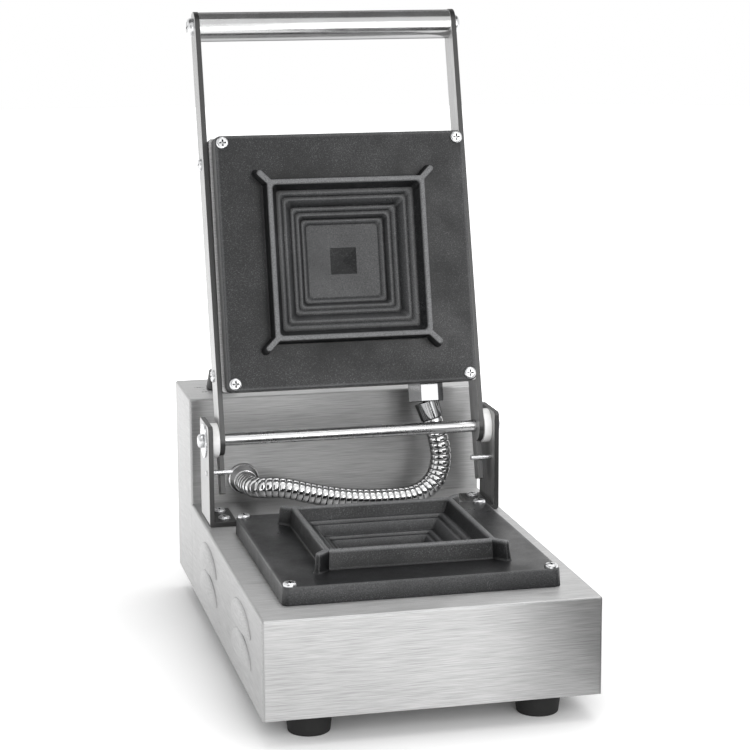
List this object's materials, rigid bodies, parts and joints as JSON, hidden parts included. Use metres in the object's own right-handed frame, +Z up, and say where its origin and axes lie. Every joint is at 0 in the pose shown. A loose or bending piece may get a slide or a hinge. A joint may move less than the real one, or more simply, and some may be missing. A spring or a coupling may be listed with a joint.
{
  "type": "single-head square mould baker",
  "caption": "Counter-top electric baker with a hinged lid: a square stepped mould on the deck meets a matching mould in the lid, swung by a tube handle on flat arms.",
  "frame": {"origin": "on the floor, under the middle of the footprint of base and control housing", "axes": "+X to the user's right, +Y from the front to the back, +Z up; lid open on its stops"},
  "size_m": [0.258, 0.417, 0.502],
  "materials": {
    "sheet_steel": "brushed",
    "bar_steel": "satin",
    "chrome": "polished",
    "coated_casting": "dark grey non-stick coating",
    "zinc": "bright zinc",
    "nylon": "natural",
    "rubber": "matt",
    "black_plastic": "satin",
    "control_case": "matt",
    "mineral_wool": "felted",
    "heating_element": "oxidised",
    "lead_wire": "silicone sleeve",
    "green_lens": "clear tint",
    "red_lens": "clear tint",
    "brass": "bright",
    "capillary": "dull copper"
  },
  "bodies": {
    "base": {"base_housing": "sheet_steel", "control_housing": "sheet_steel", "rear_cover": "sheet_steel", "bottom_cover": "sheet_steel", "lower_heat_shield": "sheet_steel", "hinge_bracket_left": "bar_steel", "hinge_bracket_right": "bar_steel", "conduit_gland": "chrome", "flexible_conduit": "chrome", "gland_locknut": "zinc", "lower_plate": "coated_casting", "rear_cover_screws": "zinc", "bottom_cover_screws": "zinc", "foot_screws": "zinc", "foot_nuts": "zinc", "lower_plate_screws": "zinc", "lower_plate_nuts": "zinc", "bracket_screws": "zinc", "bracket_nuts": "zinc", "hinge_washers": "zinc", "stop_pins": "zinc", "hinge_bushes": "nylon", "rubber_feet": "rubber", "cord_grommet": "rubber", "switch_body": "black_plastic", "thermostat_body": "control_case", "timer_body": "control_case", "terminal_block": "control_case", "lower_heater": "heating_element", "lower_insulation": "mineral_wool", "lower_heater_leads": "lead_wire", "power_lamp": "green_lens", "heating_lamp": "red_lens", "earth_stud": "brass", "thermostat_sensor": "capillary"},
    "lid": {"arm_left": "bar_steel", "arm_right": "bar_steel", "hinge_rod": "chrome", "hinge_bolts": "zinc", "handle_tube": "chrome", "handle_plugs": "zinc", "handle_screws": "zinc", "upper_casing": "sheet_steel", "upper_plate": "coated_casting", "upper_plate_screws": "zinc", "upper_plate_nuts": "zinc", "upper_heater": "heating_element", "upper_insulation": "mineral_wool", "arm_screws": "zinc", "arm_nuts": "zinc", "conduit_connector": "chrome", "connector_locknut": "zinc"},
    "thermostat_dial": {"thermostat_knob": "black_plastic", "thermostat_spindle": "zinc"},
    "timer_dial": {"timer_knob": "black_plastic", "timer_spindle": "zinc"},
    "rocker": {"switch_rocker": "black_plastic"}
  },
  "joints": [
    {"name": "lid_hinge", "type": "hinge", "parent": "base", "child": "lid", "pos_m": [0, 0.0679, 0.1615], "axis": [1, 0, 0], "range_deg": [0, 103.4], "deforming": ["flexible_conduit"]},
    {"name": "thermostat_turn", "type": "hinge", "parent": "base", "child": "thermostat_dial", "pos_m": [-0.0906, 0.1675, 0.184], "axis": [0, 0, -1], "range_deg": [0, 270]},
    {"name": "timer_turn", "type": "hinge", "parent": "base", "child": "timer_dial", "pos_m": [0.0906, 0.1675, 0.184], "axis": [0, 0, -1], "range_deg": [0, 300]},
    {"name": "rocker_tilt", "type": "hinge", "parent": "base", "child": "rocker", "pos_m": [0, 0.1675, 0.1835], "axis": [1, 0, 0], "range_deg": [-18, 0]}
  ]
}
